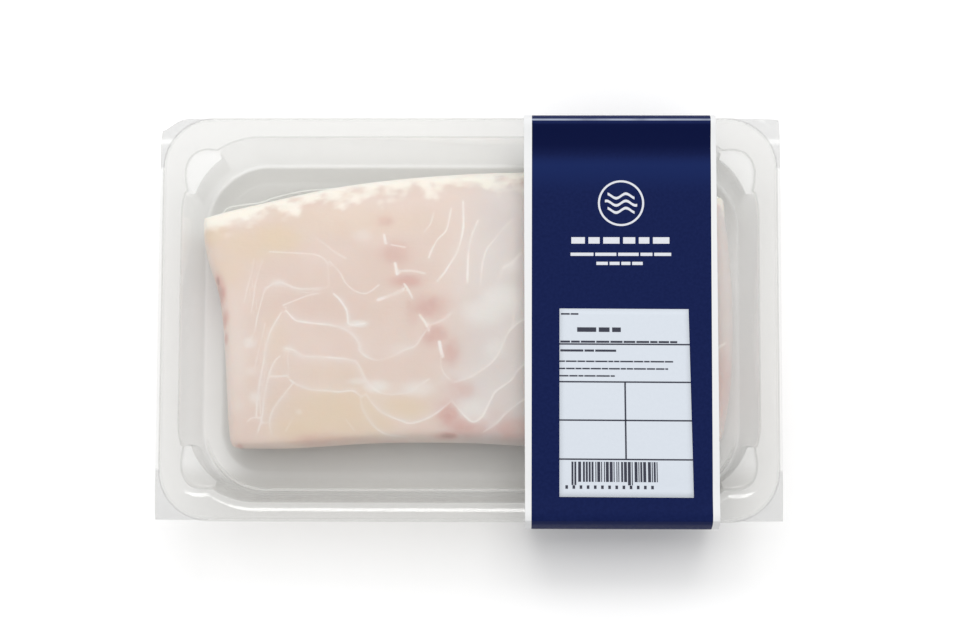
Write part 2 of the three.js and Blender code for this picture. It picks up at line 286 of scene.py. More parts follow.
tray = {
    "rimHalf": (115.0, 75.5),
    "rimCorner": 19.0,
    "mouthHalf": (107.5, 68.0),
    "mouthCorner": 29.0,
    "ledge": 39.3,
    "step": 0.65,
    "stepSpan": (1.4, 4.8),
    "floor": 1.0,
    "draft": 4.2,
    "foot": 2.0,
    "channel": 10.7,
    "panelRise": 1.2,
    "panelFlank": 1.8,
    "wall": 0.45,
    "lugAngles": (17.2, 56.6),
    "lugInner": 25.6,
    "lugRoot": 28.0,
    "lugBulge": 5.7,
    "lugStart": 16.0,
    "lugSpread": 42.0,
    "lugLean": 1.25,
    "lugSoft": 0.8,
    "wallTop": 39.0,
    "cornerStations": 60,
    "longStations": 40,
    "shortStations": 20,
    "unevenness": 0.14,
    "waveReach": 90,
    # painted highlight on each of the foot's rows
    "footHighlight": (0, 0, 0, 0.3, 1.0, 0.5, 0),
    # share of the darker tint on the floor panel, then of the painted shade on the rim
    "panelTint": 0.66,
    "rimShade": 0.45,
}


# outer edge of a stacking lug about the mouth's corner, by its angle from the tray's end
def lugOuter(degrees):
    share = min(1.0, max(0.0, (degrees - tray["lugStart"]) / tray["lugSpread"]))
    return tray["lugRoot"] + tray["lugBulge"] * math.sin(math.pi * share ** tray["lugLean"])


def lugShare(degrees):
    low, high = tray["lugAngles"]
    soft = tray["lugSoft"]
    return smoothStep(low - soft, low + soft, degrees) * smoothStep(high + soft, high - soft, degrees)


# how far a point lies outside the mouth's edge, lugs taken as part of the mouth
def outsideMouth(x, y):
    halfX, halfY = tray["mouthHalf"]
    radius = tray["mouthCorner"]
    dx = abs(x) - (halfX - radius)
    dy = abs(y) - (halfY - radius)
    if dx <= 0 or dy <= 0:
        return max(abs(x) - halfX, abs(y) - halfY)
    degrees = math.degrees(math.atan2(dy, dx))
    edge = blend(radius, lugOuter(degrees), lugShare(degrees))
    return math.hypot(dx, dy) - edge


# the flange has a low ledge at the mouth and climbs from it to the level of the lip
def flangeHeight(outside):
    return tray["ledge"] + tray["step"] * smoothStep(*tray["stepSpan"], outside)


# stations round the tray: quarter (0 to 3), degrees in it, and share of the straight side after it
def trayStations():
    places = []
    for quarter in range(4):
        count = tray["cornerStations"]
        places += [(quarter, 90.0 * i / count, 0.0) for i in range(count)]
        side = tray["longStations"] if quarter % 2 == 0 else tray["shortStations"]
        places += [(quarter, 90.0, i / side) for i in range(side)]
    return places


signs = [(1, 1), (-1, 1), (-1, -1), (1, -1)]


# point of a rounded rectangle's corner at a station
def ringPoint(station, half, corner, radius):
    quarter, degrees, along = station
    turn = math.radians(90.0 * quarter + degrees)
    ends = []
    for q in (quarter, (quarter + 1) % 4):
        centre = Vector((signs[q][0] * (half[0] - corner), signs[q][1] * (half[1] - corner)))
        ends.append(centre + Vector((math.cos(turn), math.sin(turn))) * radius)
    return ends[0].lerp(ends[1], along)


# degrees from the tray's end, the same way in all four corners
def fromEnd(station):
    quarter, degrees, along = station
    if along > 0:
        return 90.0 if quarter % 2 == 0 else 0.0
    return degrees if quarter % 2 == 0 else 90.0 - degrees


# rows from the lip inwards. Each is a function of the station that gives x, y and z
def rimRow(inset, z):
    def place(station):
        at = ringPoint(station, tray["rimHalf"], tray["rimCorner"], tray["rimCorner"] - inset)
        return Vector((at.x, at.y, z))

    return place


def mouthRow(inset, z, lugShelf=0.0, lugAway=0.0, lugZ=None):
    def place(station):
        degrees = fromEnd(station)
        share = lugShare(degrees)
        outer = lugOuter(degrees)
        radius = blend(outer, tray["lugInner"], lugShelf) + lugAway
        radius = blend(tray["mouthCorner"] - inset, radius, share)
        at = ringPoint(station, tray["mouthHalf"], tray["mouthCorner"], radius)
        height = blend(z, z if lugZ is None else lugZ, share)
        inner = smoothStep(6, 12, height) * smoothStep(39, 34, height)
        wave = noise.noise(Vector((at.x / 34, at.y / 34, height / 25)))
        at *= 1 + wave * inner * tray["unevenness"] / tray["waveReach"]
        return Vector((at.x, at.y, height))

    return place


# below the shelf the lug's wall runs down until it meets the slanting wall
def lowerRow(inset, z):
    return mouthRow(inset, z, 1, min(0.0, tray["mouthCorner"] - inset - tray["lugInner"]))


# each row with how much painted shade its bend gets, on the plain wall and at a lug, its
# share of the deeper tint, and how much painted highlight it has
def trayRows():
    rows = []

    def add(place, plainBend=0, lugBend=0, tintShare=0, highlightShare=0):
        rows.append((place, plainBend, lugBend, tintShare, highlightShare))

    # the lip's rows, each with the painted shade at its bend
    for inset, z, bend in (
        (0.0, 38.4, 0.9), (0.0, 39.3, 0.6), (0.1, 39.62, 0.3), (0.34, 39.86, 0.1),
        (0.75, 39.97, 0.2), (1.15, 39.96, 0.5), (1.5, 39.95, 0.1), (1.9, 39.95, 0),
    ):
        add(rimRow(inset, z), bend, bend)
    for away in (5.1, 4.7, 4.3, 3.8, 3.3, 2.8, 2.3, 1.8, 1.2, 0.75):
        add(mouthRow(-away, flangeHeight(away), 0, away))
    for away, drop, bend in ((0.4, 0.1, 0.4), (0.18, 0.32, 1), (0.05, 0.7, 1), (0, 1.2, 0.3)):
        z = tray["ledge"] - drop
        add(mouthRow(-away, z, 0, away), bend, bend)
    top = tray["wallTop"]
    slope = tray["draft"] / (top - tray["foot"] - tray["floor"])
    for z, lugShelf, lugAway, lugZ, bend in (
        (37.4, 0, -0.15, 37.4, 0),
        (36.8, 0, -0.35, 36.7, 0),
        (36.3, 0, -0.65, 36.25, 0.2),
        (36.0, 0, -1.2, 36.0, 0.1),
        (35.8, 0.5, 0.0, 35.95, 0),
        (35.6, 1, 0.8, 35.9, 0),
        (35.3, 1, 0.3, 35.75, 0.9),
        (34.9, 1, 0.05, 35.35, 0.9),
        (34.2, 1, 0.0, 34.6, 0.1),
    ):
        add(mouthRow(slope * (top - z), z, lugShelf, lugAway, lugZ), lugBend=bend)
    for z in (30.0, 25.0, 20.0, 15.0, 10.0, 6.5, 4.2):
        add(lowerRow(slope * (top - z), z))
    foot = tray["foot"]
    # the foot's round, with a painted highlight on the near side
    for step, paintedHighlight in enumerate(tray["footHighlight"]):
        turn = math.radians(90 * step / 6)
        inset = tray["draft"] + foot - foot * math.cos(turn)
        add(lowerRow(inset, tray["floor"] + foot - foot * math.sin(turn)), highlightShare=paintedHighlight)
    for inset in (7.4, 9.2):
        add(lowerRow(inset, tray["floor"]))
    for step in range(9):
        share = step / 8
        rise = tray["panelRise"] * (0.5 - 0.5 * math.cos(math.pi * share))
        inset = tray["channel"] + tray["panelFlank"] * share
        add(lowerRow(inset, tray["floor"] + rise), tintShare=tray["panelTint"] * share)
    for inset in (14.5, 19.0):
        add(lowerRow(inset, tray["floor"] + tray["panelRise"]), tintShare=tray["panelTint"])
    return rows


# the deeper tint: painted shade on all of the near wall and on part of the rim, and a darker
# tint, part of it, on the floor panel and the far channel, less towards the sleeve's end
def deeperTintAndShade(at, tintShare):
    near = smoothStep(-52, -62, at.y) * smoothStep(38.6, 36, at.z)
    channel = tray["panelTint"] * smoothStep(1.5, 1.05, at.z) * smoothStep(20, 55, at.y)
    panel = max(tintShare, channel) * blend(1.0, 0.3, smoothStep(60, 95, at.x))
    return max(panel, near, tray["rimShade"] * smoothStep(38.0, 38.8, at.z))


# extrudes a ring of edges, and gives the new edges and their vertices
def nextRing(bm, ring):
    made = bmesh.ops.extrude_edge_only(bm, edges=ring)["geom"]
    edges = [part for part in made if isinstance(part, bmesh.types.BMEdge)]
    verts = [part for part in made if isinstance(part, bmesh.types.BMVert)]
    return edges, verts


# rings of a sheet, each extruded from the last and moved to its own row
def sheetOfRows(rows, stations):
    bm = bmesh.new()
    bmesh.ops.create_circle(bm, segments=len(stations), radius=0.1)
    bm.verts.ensure_lookup_table()
    order = bm.verts.layers.int.new("station")
    bend = bm.verts.layers.float.new("bend")
    wet = bm.verts.layers.float.new("wet")
    paintedHighlight = bm.verts.layers.float.new("paintedHighlight")
    for i, vert in enumerate(bm.verts):
        vert[order] = i
    ring = list(bm.edges)
    verts = list(bm.verts)
    for number, (place, plainBend, lugBend, tintShare, highlightShare) in enumerate(rows):
        if number > 0:
            ring, verts = nextRing(bm, ring)
        for vert in verts:
            station = stations[vert[order]]
            at = place(station)
            vert.co = at * mm
            vert[bend] = blend(plainBend, lugBend, lugShare(fromEnd(station)))
            # the painted highlight keeps to the near side
            vert[paintedHighlight] = highlightShare * smoothStep(-40, -60, at.y)
            vert[wet] = deeperTintAndShade(at, tintShare)
    return bm, ring


def buildTray():
    bm, ring = sheetOfRows(trayRows(), trayStations())
    bmesh.ops.contextual_create(bm, geom=ring)
    faceUp(bm)
    piece = objectFrom(bm, "clearTray", clearPlastic("trayPlastic", trayLook))
    giveWall(piece, tray["wall"])
    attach(piece, "root")
    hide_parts("tray")


buildTray()
print("tray built")

film = {
    "half": (115.8, 75.0),
    "cells": (170, 120),
    "crowding": 0.32,
    "above": 0.17,
    "thickness": 0.1,
    "sag": 0.2,
    "sagReach": 60,
    "sagPower": 0.7,
    "wrinkle": 0.12,
    "wrinkleLength": 40,
    "tabFlat": 1.2,
    "curlReach": 7.0,
    "slant": 0.26,
    "slantFrom": 100,
    "curls": [(-1, 1, 0.6), (1, 1, 0.5), (-1, -1, 0.35), (1, -1, 0.3)],
    # past the rim's round the loose corners get painted grey shade; along the far tabs' fold it is thinner,
    # a painted highlight
    "foldY": 66.4,
    "foldWidth": 0.9,
    "foldHighlight": 0.75,
    "tabShadeSpan": (-1.2, -0.6),
    "sealRadius": 13.6,
    "sealRise": 0.12,
    "sealWidth": 0.42,
}


# cells are smaller towards the film's edges
def crowded(share):
    even = film["crowding"]
    return even * share + (1 - even) * math.sin(share * math.pi / 2)


def filmPlace(u, v):
    x = film["half"][0] * crowded(u)
    y = film["half"][1] * crowded(v)
    outside = outsideMouth(x, y)
    z = flangeHeight(outside) + film["above"]
    inside = min(1.0, max(0.0, -outside / film["sagReach"]))
    z -= film["sag"] * inside ** film["sagPower"]
    long = film["wrinkleLength"]
    z += film["wrinkle"] * noise.noise(Vector((x / long, y / long, 0))) * smoothStep(0, 12, -outside)
    cornerX, cornerY = tray["rimHalf"]
    toCorner = math.hypot(abs(x) - cornerX, abs(y) - cornerY)
    if outside > 0:
        away = (toCorner - film["sealRadius"]) / film["sealWidth"]
        z += film["sealRise"] * math.exp(-(away**2))
    radius = tray["rimCorner"]
    dx = abs(x) - (cornerX - radius)
    dy = abs(y) - (cornerY - radius)
    if dx <= 0 or dy <= 0:
        return Vector((x, y, z))
    past = math.hypot(dx, dy) - radius - film["tabFlat"]
    if past <= 0:
        return Vector((x, y, z))
    # a loose corner past the rim's round corner curls down, and the far left one slants too
    curl = next(c[2] for c in film["curls"] if c[0] * x > 0 and c[1] * y > 0)
    reach = film["curlReach"]
    turn = curl * past / reach
    slant = 0.0
    if x < 0 < y:
        slant = film["slant"] * max(0.0, -x - film["slantFrom"]) * smoothStep(0, 6, past)
    out = Vector((dx, dy)).normalized() * (radius + film["tabFlat"] + reach / curl * math.sin(turn))
    x = math.copysign(cornerX - radius + out.x, x)
    y = math.copysign(cornerY - radius + out.y, y) - slant
    return Vector((x, y, z - reach / curl * (1 - math.cos(turn))))


def buildFilm():
    bm = bmesh.new()
    bmesh.ops.create_grid(bm, x_segments=film["cells"][0], y_segments=film["cells"][1], size=1)
    for vert in bm.verts:
        vert.co = filmPlace(vert.co.x, vert.co.y) * mm
    bend = bm.verts.layers.float.new("bend")
    cornerX = tray["rimHalf"][0] - tray["rimCorner"]
    cornerY = tray["rimHalf"][1] - tray["rimCorner"]
    for vert in bm.verts:
        dx = abs(vert.co.x) / mm - cornerX
        dy = abs(vert.co.y) / mm - cornerY
        if dx > 0 and dy > 0:
            past = math.hypot(dx, dy) - tray["rimCorner"]
            fold = 0.0
            if vert.co.y > 0:
                fold = math.exp(-(((abs(vert.co.y) / mm - film["foldY"]) / film["foldWidth"]) ** 2))
            # painted shade on the loose corners, thinned along the far fold as a painted highlight
            vert[bend] = smoothStep(*film["tabShadeSpan"], past) * (1 - film["foldHighlight"] * fold)
    faceUp(bm)
    piece = objectFrom(bm, "liddingFilm", clearPlastic("filmPlastic", filmLook))
    giveWall(piece, film["thickness"])
    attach(piece, "root")
    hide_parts("film")


buildFilm()
print("film built")

fillet = {
    "voxel": 0.82,
    "pillow": 0.12,
    "pillowReach": 3.0,
    "groove": 0.05,
    "terrace": 0.14,
    "cornerOut": 1.8,
    "flakesFrom": 21,
    "topEdge": [(-100.8, 40.2), (-80.3, 46.2), (-49.3, 53), (-16.3, 56.9), (20.7, 58.6),
                (60.7, 57.6), (96.7, 48.6)],
}

# seams between the flakes: strength, half width, how far a pale band fades to the seam's left
# (minus: to its right), then x and y of a few points
seams = [
    (0.35, 0.2, 0, [(-81.5, 23.6), (-82.3, 18.3), (-83.9, 12.2), (-85, 7)]),
    (0.45, 0.22, 0, [(-78.2, 23.2), (-79.8, 18.3), (-81, 13), (-81.5, 8), (-82.3, 3)]),
    (0.45, 0.22, 0, [(-75.3, 13), (-77.4, 11), (-78.6, 7), (-80.2, 0.3), (-81, -4.2), (-84, -10)]),
    (0.4, 0.2, 0, [(-77, -1), (-77.8, -5), (-79, -10), (-80.2, -15), (-80.8, -17.7)]),
    (0.6, 0.24, 1.5, [(-71, 3), (-74.5, -3), (-75.7, -6), (-77, -11), (-77.4, -15), (-78.4, -20),
        (-79.2, -25), (-79.8, -29), (-80.2, -35.7)]),
    (0.55, 0.24, 1.2, [(-71.2, -13.2), (-73.3, -15.3), (-75, -19), (-76.5, -24.7), (-77.4, -29.6),
        (-77.8, -34.5), (-78.6, -38.2), (-79.8, -42)]),
    (0.5, 0.4, 0, [(-75.3, -20.8), (-72, -20.9), (-68.4, -20.6)]),
    (0.3, 0.2, 0, [(-68, -10), (-68.4, -14), (-68, -18)]),
    (0.5, 0.24, 1.2, [(-66.7, -24), (-69.6, -27.5), (-72.5, -31.2), (-74.1, -33.7), (-75.3, -38.2),
        (-74.5, -42.3)]),
    (0.5, 0.26, 0, [(-83.5, -37.8), (-81.9, -36.5), (-78.6, -36.3)]),
    (0.4, 0.24, 0, [(-78.2, -38), (-75.7, -38.4)]),
    (0.3, 0.2, 0, [(-66.3, -36.1), (-69.2, -41.5)]),
    (0.45, 0.26, 0, [(-75.7, 26.3), (-65, 25.7), (-59.4, 25.3), (-55.7, 24), (-53.6, 21.2), (-53.2, 16.3),
        (-52.8, 13)]),
    (0.4, 0.26, 0, [(-58.1, 31.4), (-54.9, 29.3), (-51.6, 26.5), (-46.7, 23.6)]),
    (0.5, 0.26, 0, [(-52.8, 22.4), (-49, 18.3), (-46.7, 14.2), (-42.6, 10.9), (-38.5, 10.4),
        (-34.2, 13.4)]),
    (0.45, 0.3, -1.6, [(-77.4, 12.2), (-72.5, 14.6), (-69.2, 13.8), (-65, 12.2), (-59, 12.2),
        (-53.6, 12.6)]),
    (0.6, 0.24, 0, [(-70.4, 5.8), (-66.7, 7.3), (-61, 9.5), (-56.9, 10.3)]),
    (0.8, 0.3, 1.2, [(-51.2, 10.1), (-48.7, 7.7), (-46.3, 4), (-45.9, 1.9), (-45, -1.5), (-39.3, -1)]),
    (0.75, 0.28, 1.5, [(-69.2, 3.9), (-66.3, 0.7), (-63.9, -0.3), (-57, -1.2), (-51.6, -1.8),
        (-46.7, -3.4), (-43.4, -5.9), (-41.4, -9), (-41, -11.6), (-37.9, -14), (-34.6, -14.9)]),
    (0.35, 0.3, 2.5, [(-34.6, -14.9), (-29.3, -13.6), (-24, -10.8), (-20.3, -9.5), (-17.9, -5.9),
        (-15.8, -3)]),
    (0.65, 0.26, -1.5, [(-69.2, -10.4), (-65.9, -11.2), (-62.6, -13.2), (-57, -13.6), (-50.8, -14),
        (-43.8, -14.9), (-41.4, -17), (-39, -22), (-36.3, -25.1), (-33.4, -27.1)]),
    (0.4, 0.3, 3.0, [(-33.4, -27.1), (-29.3, -27.7), (-22, -26.6), (-18.7, -24.2), (-15, -21.8)]),
    (0.6, 0.26, 1.6, [(-67.5, -22.2), (-65, -23.9), (-59.4, -25.9), (-53.6, -26.3), (-48.7, -26.7),
        (-43.8, -26.3), (-40.6, -28.4), (-38.7, -27.5)]),
    (0.6, 0.28, 2.0, [(-38.7, -27.5), (-37.5, -29.6), (-34.6, -33), (-31, -35.3), (-25.2, -37.6),
        (-22, -38.4), (-17, -37), (-13, -35), (-9.7, -32.5), (-6.8, -30)]),
    (0.45, 0.24, 1.2, [(-40.8, -28.8), (-40.4, -32), (-38.7, -35.7), (-35.5, -39.8), (-31.8, -42.3),
        (-28, -43.1), (-22.4, -43.5)]),
    (0.3, 0.2, 0, [(-46.3, -37), (-43, -41.5)]),
    (0.7, 0.4, 0, [(-32.4, 32.6), (-31.8, 29.5)]),
    (0.5, 0.24, 0, [(-29.7, 28.9), (-24.4, 27.9)]),
    (0.9, 0.5, 0, [(-28.1, 21.6), (-27.3, 17.7)]),
    (0.45, 0.4, 0, [(-27.3, 18.7), (-22, 18.9), (-17, 18)]),
    (1.0, 0.55, 0, [(-34.4, 7.9), (-29.7, 9.5), (-25.2, 11.6)]),
    (0.8, 0.36, 0, [(-24.6, 13.8), (-23.2, 11.8), (-21.6, 8.7)]),
    (1.0, 0.45, 0, [(-18.7, 2.1), (-16.2, -1.4), (-15.4, -3.6)]),
    (0.8, 0.4, 0, [(-15.4, -1.4), (-12.2, -0.6), (-8.9, 1.1), (-6.8, 3.1)]),
    (1.0, 0.6, 0, [(-11.3, -8.1), (-10.7, -11.2), (-10.1, -13.2)]),
    (0.4, 0.26, 0, [(-10.9, -14), (-10.5, -17.7), (-8.9, -20.6), (-6, -23)]),
    (0.75, 0.3, 5.0, [(-6, -23), (-2.7, -22.2), (1.3, -20.6), (5.4, -18), (8.3, -15.7), (10.3, -13.2),
        (12, -10), (13.6, -6.3), (15.7, -3), (20.2, 0.3), (30, 4), (44, 11)]),
    (0.8, 0.3, 4.5, [(-6.8, -29.6), (-4, -33), (-0.7, -36.5), (1.8, -37.8), (4.6, -36), (6.3, -33),
        (8, -29.6), (10, -26.3), (15.7, -22.2), (19.7, -17), (34, -7)]),
    (0.65, 0.26, 3.0, [(5.4, -41.5), (10.3, -38.2), (13.2, -35), (15.7, -33), (20.2, -29.6), (34, -22),
        (52, -10)]),
    (0.3, 0.3, -2.0, [(17.3, 8), (16.8, 3), (16, -1.8)]),
    (0.5, 0.26, 0, [(-13.8, 41.2), (-15, 37), (-17, 34.2)]),
    (0.7, 0.3, 0, [(-7.2, 42.8), (-8.9, 34.7), (-12.2, 31), (-14.6, 26.5), (-15.4, 24)]),
    (0.85, 0.36, 0, [(-2.7, 45.7), (-2.5, 36.3), (-3.6, 29.8), (-5.2, 25.3), (-7.7, 21.2), (-9.7, 18),
        (-12.2, 15)]),
    (0.95, 0.36, 0, [(3, 38), (0.9, 33), (-0.3, 28), (-0.7, 22.4), (-0.9, 14.6)]),
    (0.6, 0.3, 0, [(15.7, 38.3), (12, 34.7), (9, 30.6), (6.7, 27.7), (5.4, 24.4), (4.6, 20.3),
        (4, 13.8)]),
    (0.45, 0.6, 2.0, [(18.9, 25.3), (15.7, 21.6), (12.8, 20), (10.8, 15.8)]),
    (0.5, 0.4, 0, [(60, 40), (44, 30), (30, 19)]),
    (0.5, 0.4, 0, [(84, 38), (66, 27), (48, 16), (36, 8)]),
    (0.6, 0.4, 2.0, [(94, 18), (78, 8), (62, -4), (48, -16), (38, -30), (36, -40)]),
    (0.5, 0.4, 2.0, [(96, -8), (84, -16), (70, -28), (62, -40)]),
]

# soft patches: x, y, half sizes, strength
patches = {
    "blood": [
        (-32, 38, 2.6, 1.8, 0.7),
        (-28.5, 25.3, 4.6, 4, 0.7),
        (-23.6, 15, 5, 2.2, 0.95),
        (-15.4, 5.2, 6, 4, 0.95),
        (-21.2, 4, 2.5, 4, 0.6),
        (-13, -5.5, 4.2, 3.4, 1.0),
        (-7.2, -12, 3.2, 4.5, 0.9),
        (-3.6, -26, 4.4, 3, 0.85),
        (-7.7, -35, 4, 4.5, 1.2),
        (-0.7, -39.4, 7, 4, 1.1),
        (-8.1, -42.9, 4, 1.2, 1.6),
        (-94.1, 11, 1.8, 5, 1.4),
        (-94.7, 15.2, 0.9, 2, 1.8),
        (-92.5, 1.1, 1.4, 3, 1.2),
        (-92, -6.7, 0.9, 1.8, 1.1),
        (-57.7, -44.7, 7, 2.2, 0.7),
        (-44.7, -45, 10, 1.5, 0.4),
        (-31, -45.5, 9, 1, 0.6),
        (17.7, -41, 9, 4, 0.9),
        (8, -37, 8, 4, 0.45),
        (17, 54.5, 5, 1.8, 0.8),
        (-63.5, 48.2, 1.6, 0.8, 0.7),
        (-86.8, -47, 1, 0.8, 1.2),
        (-60, 5, 14, 6, 0.12),
        (94, -24, 6, 12, 0.6),
    ],
    "amber": [
        (-73.3, 31.4, 9, 5, 1.0),
        (-95, 32.6, 5, 4, 0.8),
        (-83.5, 28.5, 9, 6, 0.7),
        (-89.6, 20.3, 5, 6, 0.5),
        (-48.7, -34.5, 18, 9, 0.9),
        (-61, -40.6, 12, 5, 0.9),
        (-25.2, -33, 9, 4, 0.9),
        (-35.5, -38.6, 7, 4, 0.8),
        (-73.3, -6, 4, 8, 0.35),
        (-52, -20, 12, 4, 0.3),
        (-50, 38, 30, 5, 0.35),
    ],
    # pale patches: partly white tissue, partly painted soft glare on the wet flesh
    "milkAndGlare": [
        (-90.5, 40.5, 11, 3, 0.6),
        (-34.8, -24.6, 4.2, 2, 0.9),
        (-18.7, -25.4, 5.2, 2.6, 0.8),
        (-41.8, -1.2, 3.2, 1.1, 1.2),
        (-41.5, -22.8, 3.5, 1, 0.7),
        (11.6, 8, 7, 5, 0.9),
        (5.4, 3.5, 7, 4.5, 0.8),
        (9.5, -10.8, 3.5, 3, 0.6),
        (1.5, -33.7, 4.6, 3.6, 0.7),
        (-83.1, -8.3, 2.2, 1.8, 0.6),
        (-81, -28.8, 1.8, 1.8, 0.6),
        (-82.3, -19, 2, 1.6, 0.4),
        (-87.6, -31.6, 2.5, 3, 0.4),
        (-72.5, 14.6, 2.5, 1.2, 0.5),
        (-68.4, -10.4, 1.6, 1.1, 0.5),
        (-64.1, -34.1, 1.1, 0.9, 0.5),
        (-40.6, 32.2, 3, 2, 0.4),
        (-25.2, -10.8, 4, 2, 0.35),
        (15.3, 20.8, 4, 2.5, 0.45),
        (-88, -20, 3.5, 18, 0.3),
        (4, 20, 12, 12, 0.25),
    ],
}


# for each point: offset to the nearest seam, how far that is, the seam's strength and width,
# and how much of a pale band it lies in
def nearestSeam(points):
    best = np.full(len(points), 1e9)
    offset = np.zeros((len(points), 2))
    strength = np.zeros(len(points))
    width = np.ones(len(points))
    pearl = np.zeros(len(points))
    for seamStrength, seamWidth, fade, knots in seams:
        line = curveThrough(knots, 5)
        own = np.full(len(points), 1e9)
        leftward = np.zeros(len(points))
        for a, b in zip(line, line[1:]):
            start = np.array(a)
            along = np.array(b) - start
            share = np.clip((points - start) @ along / max(along @ along, 1e-9), 0, 1)
            away = points - start - share[:, None] * along
            distance = np.hypot(away[:, 0], away[:, 1])
            nearer = distance < own
            own[nearer] = distance[nearer]
            leftward[nearer] = (along[0] * away[nearer, 1] - along[1] * away[nearer, 0])
            nearest = distance < best
            best[nearest] = distance[nearest]
            offset[nearest] = away[nearest]
            strength[nearest] = seamStrength
            width[nearest] = seamWidth
        if fade:
            ends = [np.hypot(*(points - np.array(line[i])).T) for i in (0, -1)]
            towardsEnds = np.clip(np.minimum(*ends) / 4, 0, 1)
            reach = np.where(leftward * fade > 0, abs(fade), 0.4)
            pearl = np.maximum(pearl, seamStrength * towardsEnds * np.exp(-own / reach))
    return offset, best, strength, width, pearl


def patchSum(points, spots):
    total = np.zeros(len(points))
    for x, y, halfX, halfY, strength in spots:
        reach = ((points[:, 0] - x) / halfX) ** 2 + ((points[:, 1] - y) / halfY) ** 2
        total = np.maximum(total, strength * np.exp(-((reach / 1.5) ** 1.6)))
    return total


def keep(mesh, name, kind, values):
    slot = mesh.attributes.new(name, kind, "POINT")
    field = "vector" if kind == "FLOAT_VECTOR" else "value"
    slot.data.foreach_set(field, np.asarray(values, np.float32).ravel())


def fishFlesh():
    shade = Shading("fishFlesh")
    offset = shade.attribute("seamOffset", "Vector")
    far = shade.attribute("seamFar")
    strength = shade.attribute("seamStrength")
    width = shade.attribute("seamWidth")
    length = shade.add("VectorMath", {"operation": "LENGTH"}, Vector=offset).outputs["Value"]
    away = shade.sum("MAXIMUM", length, shade.sum("SUBTRACT", far, 0.9))
    wander = shade.noise(260.0, 2.0)
    away = shade.sum("ADD", away, shade.sum("MULTIPLY", shade.sum("SUBTRACT", wander, 0.5), 0.4))
    reach = shade.sum("DIVIDE", away, width)
    core = shade.range(reach, 0.4, 1.8, 1.0, 0.0)
    glow = shade.range(reach, 0.0, 6.0, 1.0, 0.0)
    broken = shade.range(shade.noise(90.0, 3.0), 0.36, 0.6, 0.3, 1.0)
    line = shade.sum("MULTIPLY", shade.sum("MULTIPLY", core, strength), broken)
    halo = shade.sum("MULTIPLY", shade.sum("MULTIPLY", glow, strength), 0.16)

    cloud = shade.noise(28.0, 4.0, 0.55)
    fine = shade.noise(170.0, 3.0, 0.6)
    colour = shade.mix(shade.range(cloud, 0.35, 0.65), (0.695, 0.555, 0.485), (0.73, 0.6, 0.535))
    colour = shade.mix(shade.attribute("cool"), colour, (0.65, 0.605, 0.59))
    colour = shade.mix(shade.attribute("amber"), colour, (0.715, 0.575, 0.43))
    red = shade.attribute("blood")
    blood = shade.sum("MULTIPLY", red, shade.range(fine, 0.3, 0.6, 0.6, 1.0))
    colour = shade.mix(shade.sum("MULTIPLY", blood, 0.85, clamp=True), colour, (0.61, 0.37, 0.325))
    dark = shade.range(red, 1.1, 2.0, 0.0, 0.7)
    colour = shade.mix(dark, colour, (0.33, 0.22, 0.18))
    # pale patches, partly white tissue and partly painted glare
    milkAndGlare = shade.attribute("milkAndGlare")
    milkAndGlare = shade.sum("MULTIPLY", milkAndGlare, shade.range(cloud, 0.3, 0.6, 0.6, 1.0))
    colour = shade.mix(shade.sum("MULTIPLY", milkAndGlare, 0.8, clamp=True), colour, (0.8, 0.785, 0.75))
    pearl = shade.sum("MULTIPLY", shade.attribute("pearl"), 0.75, clamp=True)
    colour = shade.mix(pearl, colour, (0.77, 0.73, 0.7))
    colour = shade.mix(halo, colour, (0.82, 0.74, 0.69))
    # paler cream along the far top edge: partly the flesh's own tone, partly painted light where that edge
    # faces the lamp
    colour = shade.mix(shade.attribute("creamAndLitEdge"), colour, (0.885, 0.85, 0.765))
    colour = shade.mix(line, colour, (0.84, 0.79, 0.75))
    speck = shade.range(shade.noise(900.0, 2.0), 0.62, 0.75, 0.0, 0.12)
    colour = shade.mix(speck, colour, (0.55, 0.42, 0.36))

    fibre = shade.noise(1.0, 3.0, 0.6, shade.stretched(120.0, 700.0, 300.0))
    normal = shade.bump(fibre, 0.05)
    normal = shade.bump(shade.noise(240.0, 4.0, 0.6), 0.12, normal)
    shade.set(
        Base_Color=colour,
        Subsurface_Weight=0.35,
        Subsurface_Radius=(1.0, 0.45, 0.3),
        Subsurface_Scale=0.004,
        Roughness=shade.range(shade.noise(60.0, 3.0), 0.3, 0.7, 0.32, 0.5),
        Normal=normal,
        Coat_Weight=0.2,
        Coat_Roughness=0.25,
        IOR=1.4,
    )
    return shade.finish


